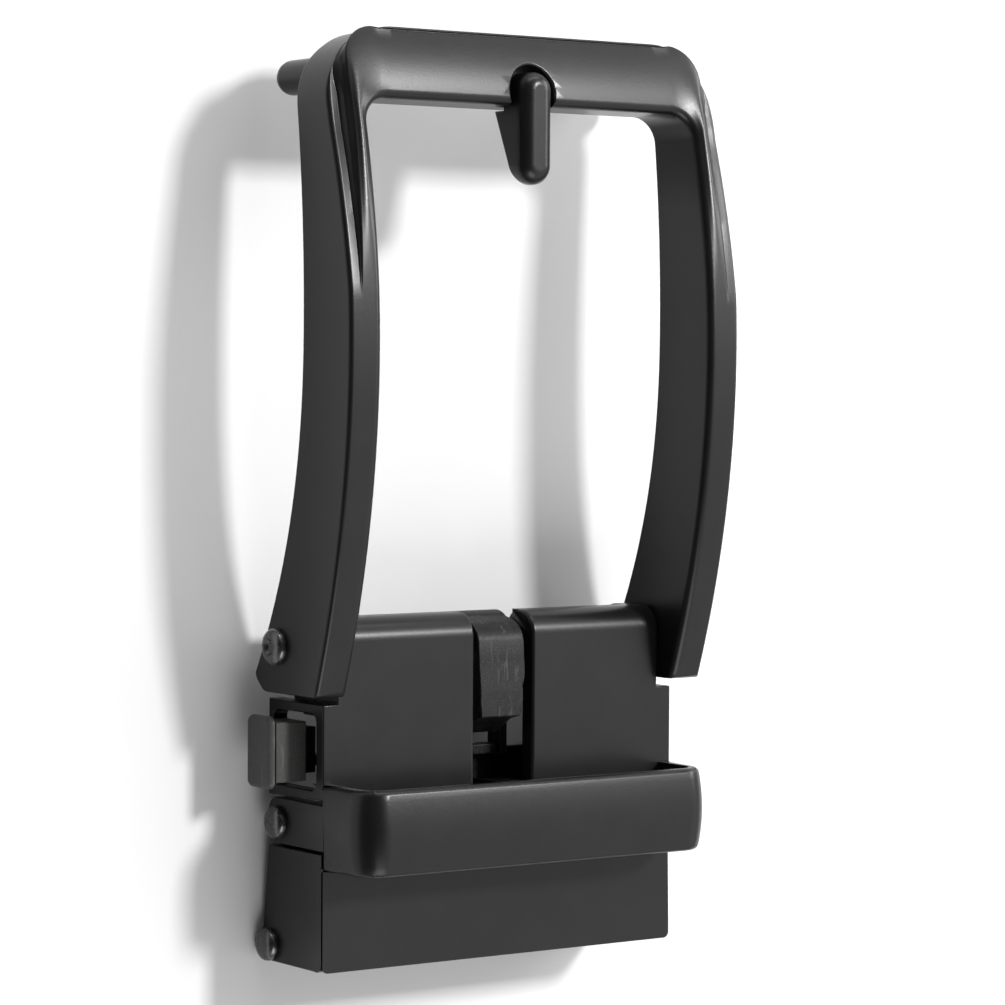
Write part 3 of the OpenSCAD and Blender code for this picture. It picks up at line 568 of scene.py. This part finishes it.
def make_tongue():
    """A domed, round-ended prong whose web thickens towards the end bar."""
    ends = (TONGUE_TIP + TONGUE_R, TONGUE_TOP - TONGUE_R)
    low = TONGUE_FRONT - WEB_DEPTH - 1.2
    levels = [(low, TONGUE_R)]
    for a in (math.radians(90 * k / 8) for k in range(9)):
        levels.append((TONGUE_FRONT - TONGUE_EDGE * (1 - math.sin(a)),
                       TONGUE_R - TONGUE_EDGE * (1 - math.cos(a))))
    bm = bmesh.new()
    loft(bm, [[(x, y, z) for x, y in pill(r, *ends)] for z, r in levels])
    obj = new_object("prong", bm)
    floor_z = NOTCH_FLOOR + 0.03
    near = WINDOW_TOP - 0.3
    below = prism_x("below", [(TONGUE_TIP - 1, low - 1), (TONGUE_TIP - 1, TONGUE_FRONT - TIP_EDGE),
                              (ends[0], TONGUE_FRONT - TIP_DEPTH),
                              (near, TONGUE_FRONT - WEB_DEPTH), (near, floor_z),
                              (TONGUE_TOP + 1, floor_z), (TONGUE_TOP + 1, low - 1)], -3, 3)
    cut(obj, [below])
    round_edges(obj, lambda p, along: 0.25, min_turn=50)
    finish_piece(obj, "tongue", "frame_body", black_casting)


# The housing: the CAD shape with a crowned keeper band and rounded edges

KEEPER_CROWN = 0.42    # how far the band's edges lie below its middle
CROWN_RUN = 3.0        # height over which the legs come to the full crown
LEG_ROWS = (0.05, 1.0, 2.0, 3.0)
BAND_ROWS = 8
BAND_EDGE, BAND_INNER_EDGE = 0.45, 0.12
SLOT_EDGE, PLATE_EDGE = 0.3, 0.14
SLOT_SIDE = 4.0        # everything nearer to the middle belongs to the slot


def split_faces(bm, picked, point, normal):
    """Cuts the picked faces along a plane; picked(face centre) is in millimetres."""
    faces = [f for f in bm.faces if picked(f.calc_center_median() / MM)]
    geom = list({v for f in faces for v in f.verts}) + list({e for f in faces for e in f.edges})
    bmesh.ops.bisect_plane(bm, geom=geom + faces, plane_co=Vector(point) * MM,
                           plane_no=normal, dist=1e-7)


def crown_keeper(obj):
    bm = bmesh.new()
    bm.from_mesh(obj.data)
    low, high = KEEPER
    middle, half = (low + high) / 2, (high - low) / 2
    leg_in, turn_x = HALF_W - KEEPER_LEG, HALF_W - KEEPER_R
    turn_z, under = KEEPER_TOP - KEEPER_R, KEEPER_TOP - KEEPER_T

    def is_end(c):
        return c.z > FACE + 0.04 and min(abs(c.y - low), abs(c.y - high)) < 0.01
    for h in LEG_ROWS:
        split_faces(bm, lambda c: abs(abs(c.x) - HALF_W) < 0.01, (0, 0, FACE + h), (0, 0, 1))
    for k in range(1, BAND_ROWS):
        split_faces(bm, lambda c: c.z > FACE + 0.04,
                    (0, low + (high - low) * k / BAND_ROWS, 0), (0, 1, 0))
    # The band's two end faces are parted into simple pieces
    for x in (-leg_in, -turn_x, -8.0, 0.0, 8.0, turn_x, leg_in):
        split_faces(bm, is_end, (x, 0, 0), (1, 0, 0))
    split_faces(bm, is_end, (0, 0, turn_z), (0, 0, 1))
    for v in bm.verts:
        x, y, z = v.co / MM
        inside = abs(x) < leg_in + 0.01 and z < under + 0.01
        if z < FACE + 0.06 or inside or not low - 0.01 < y < high + 0.01:
            continue
        away = Vector((math.copysign(max(0.0, abs(x) - turn_x), x), 0, max(0.0, z - turn_z)))
        if away.length < 0.1:
            continue
        drop = KEEPER_CROWN * ((y - middle) / half) ** 2 * min(1.0, (z - FACE) / CROWN_RUN)
        v.co -= away.normalized() * drop * MM
    bm.to_mesh(obj.data)
    bm.free()


def make_housing():
    obj = from_node("housing", "slotted_housing")
    crown_keeper(obj)

    def width_at(p, along):
        on_band = p.z > FACE + 0.5 and KEEPER[0] - 0.1 < p.y < KEEPER[1] + 0.1
        if on_band and abs(along.normalized().y) < 0.3:
            inner = abs(p.x) < HALF_W - KEEPER_LEG + 0.05 and p.z < KEEPER_TOP - KEEPER_T + 0.05
            return BAND_INNER_EDGE if inner else BAND_EDGE
        if on_band:
            return 0.0
        if abs(p.x) < SLOT_SIDE:
            round_y, round_z = p.y - (PLATE_TOP - TOP_R), p.z - (FACE - TOP_R)
            on_front = p.z > FACE - 0.05
            on_top = round_y > 0 and round_z > -0.1 and math.hypot(round_y, round_z) > TOP_R - 0.06
            return SLOT_EDGE if on_front or on_top else 0.0
        # The plate's lower corners are round already, and a bevel there would fold over
        corner = PLATE_CORNER_R + 0.05
        return 0.0 if abs(p.x) > HALF_W - corner and p.y < corner else PLATE_EDGE
    round_edges(obj, width_at)
    finish_piece(obj, "housing", "housing_body", black_casting)


# Pins with riveted heads, turned about X

HEAD_GAP = 0.03
# A head's outline and its two kinds of ends, as shares of its height and of its radius
HEAD = ((0.0, 1.0), (0.10, 1.0), (0.42, 0.985), (0.62, 0.93), (0.80, 0.82), (0.92, 0.68),
        (0.985, 0.52))
DIMPLE = ((0.97, 0.46), (0.80, 0.40), (0.62, 0.30), (0.58, 0.01))
DOME = ((1.0, 0.25), (1.0, 0.01))


def headed_pin(name, node, body, half, pin_r, end):
    """A pin whose heads sit at half to each side, as wide and as high as the node's own."""
    low, high = box_of(node)
    seat = half + HEAD_GAP
    head_r, head_h = (high[2] - low[2]) / 2, high[0] - seat
    right = [(seat, pin_r)] + [(seat + h * head_h, r * head_r) for h, r in HEAD + end]
    bm = bmesh.new()
    lathe_x(bm, [(-x, r) for x, r in reversed(right)] + right, *axis_of(node))
    finish_piece(new_object(name, bm), node, body, rivet_steel)


PAWL_FRONT = FACE - 2.3
PAWL_STEM = (-2.6, 2.4)                # left of the whole stem, and just inside its right side
WAIST_Y, WAIST_X = (22.8, 25.6), (1.8, 2.5)    # the right side's places, from narrow to wide
WAIST_ROWS = tuple(22.6 + 0.4 * k for k in range(9))
WAIST_TOP = 26.2
TAB_FRONT, TAB_NECK = -HALF_W - 3.5, -HALF_W - 2.6
TAB_EDGE, NECK_EDGE, PAWL_EDGE, CLAMP_EDGE, JAW_EDGE = 0.42, 0.06, 0.13, 0.14, 0.07


def waist_pawl(obj):
    """Draws in the right side of the pawl's front towards its biting edge."""
    bm = bmesh.new()
    bm.from_mesh(obj.data)
    left, right = PAWL_STEM
    for y in WAIST_ROWS:
        split_faces(bm, lambda c: c.z > PAWL_FRONT and c.x > left, (0, y, 0), (0, 1, 0))
    for v in bm.verts:
        x, y, z = v.co / MM
        if x > right and z > PAWL_FRONT and y < WAIST_TOP:
            narrow, wide = WAIST_X
            v.co.x = (narrow + (wide - narrow) * ease(y, *WAIST_Y)) * MM
    bm.to_mesh(obj.data)
    bm.free()


def pawl_width(p, along):
    if p.x < TAB_FRONT:
        return TAB_EDGE
    return NECK_EDGE if p.x < TAB_NECK else PAWL_EDGE


def make_small_parts():
    headed_pin("hinge_rivet", "hinge_pin", "housing_body", HALF_FRAME, HINGE_PIN_R, DIMPLE)
    headed_pin("middle_rivet", "stop_pin", "housing_body", HALF_W, PIN_R, DOME)
    headed_pin("lower_rivet", "clamp_pin", "clamp_body", HALF_W, PIN_R, DOME)
    pawl = from_node("pawl", "ratchet_pawl")
    waist_pawl(pawl)
    round_edges(pawl, pawl_width)
    finish_piece(pawl, "pawl", "pawl_body", gunmetal)
    clamp = from_node("clamp", "strap_clamp_plates")
    round_edges(clamp, lambda p, along: CLAMP_EDGE if p.z < FACE - 1.6 else 0.0)
    finish_piece(clamp, "clamp", "clamp_body", black_casting)
    jaw = from_node("clamp_jaw", "toothed_bar")
    round_edges(jaw, lambda p, along: JAW_EDGE, 2)
    finish_piece(jaw, "clamp_jaw", "clamp_body", gunmetal)


make_frame()
make_tongue()
make_housing()
make_small_parts()
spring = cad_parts["pawl_spring"]
spring.data.materials.clear()
spring.data.materials.append(spring_wire)
add_camera()

# Stage: pale floor and soft light. The side that the camera stands on is darker, as in
# a studio, so the metal's bends facing it stay black.

FLOOR_SIZE, FLOOR_TONE = 6, 0.56
HORIZON = (0.0, 0.5, 0.15)       # heights between which the surround grows from a share to all

bpy.ops.mesh.primitive_plane_add(size=FLOOR_SIZE, location=(0, 0, 0))
floor = bpy.context.object
floor.name = "floor"
floor_mat, floor_bsdf = principled("floor")[:2]
floor_bsdf.inputs["Base Color"].default_value = (FLOOR_TONE, FLOOR_TONE, FLOOR_TONE, 1)
floor_bsdf.inputs["Roughness"].default_value = 0.9
floor.data.materials.append(floor_mat)


def add_world(bright, dark, toward, begin, end):
    """A pale surround that darkens around one direction, from the cosine begin to end."""
    world = bpy.context.scene.world or bpy.data.worlds.new("world")
    bpy.context.scene.world = world
    world.use_nodes = True
    tree = world.node_tree
    coord = tree.nodes.new("ShaderNodeTexCoord")
    dot = tree.nodes.new("ShaderNodeVectorMath")
    dot.operation = "DOT_PRODUCT"
    dot.inputs[1].default_value = Vector(toward).normalized()
    tree.links.new(coord.outputs["Generated"], dot.inputs[0])
    shade = spread(tree, dot.outputs["Value"], begin, end, bright, dark)
    split = tree.nodes.new("ShaderNodeSeparateXYZ")
    tree.links.new(coord.outputs["Generated"], split.inputs[0])
    low = spread(tree, split.outputs["Z"], *HORIZON, 1.0)
    back = tree.nodes["Background"]
    back.inputs["Color"].default_value = (1, 1, 1, 1)
    tree.links.new(combine(tree, "MULTIPLY", shade, low), back.inputs["Strength"])


add_world(1.4, 0.04, (-0.6, 0.05, 0.75), 0.4, 0.85)
add_area("key", (0.5, 0.45, 1.0), 0.9, 0.12, 0.12, 9.0)
add_area("edge", (0.86, 0.36, 0.42), 0.5, 0.12, 0.3, 1.2)
add_area("back", (0.1, 0.95, 0.3), 0.5, 0.5, 0.15, 1.0)
add_area("fill", (-0.15, -0.75, 0.75), 0.7, 0.4, 0.4, 2.0)
bpy.context.scene.view_settings.view_transform = "Standard"
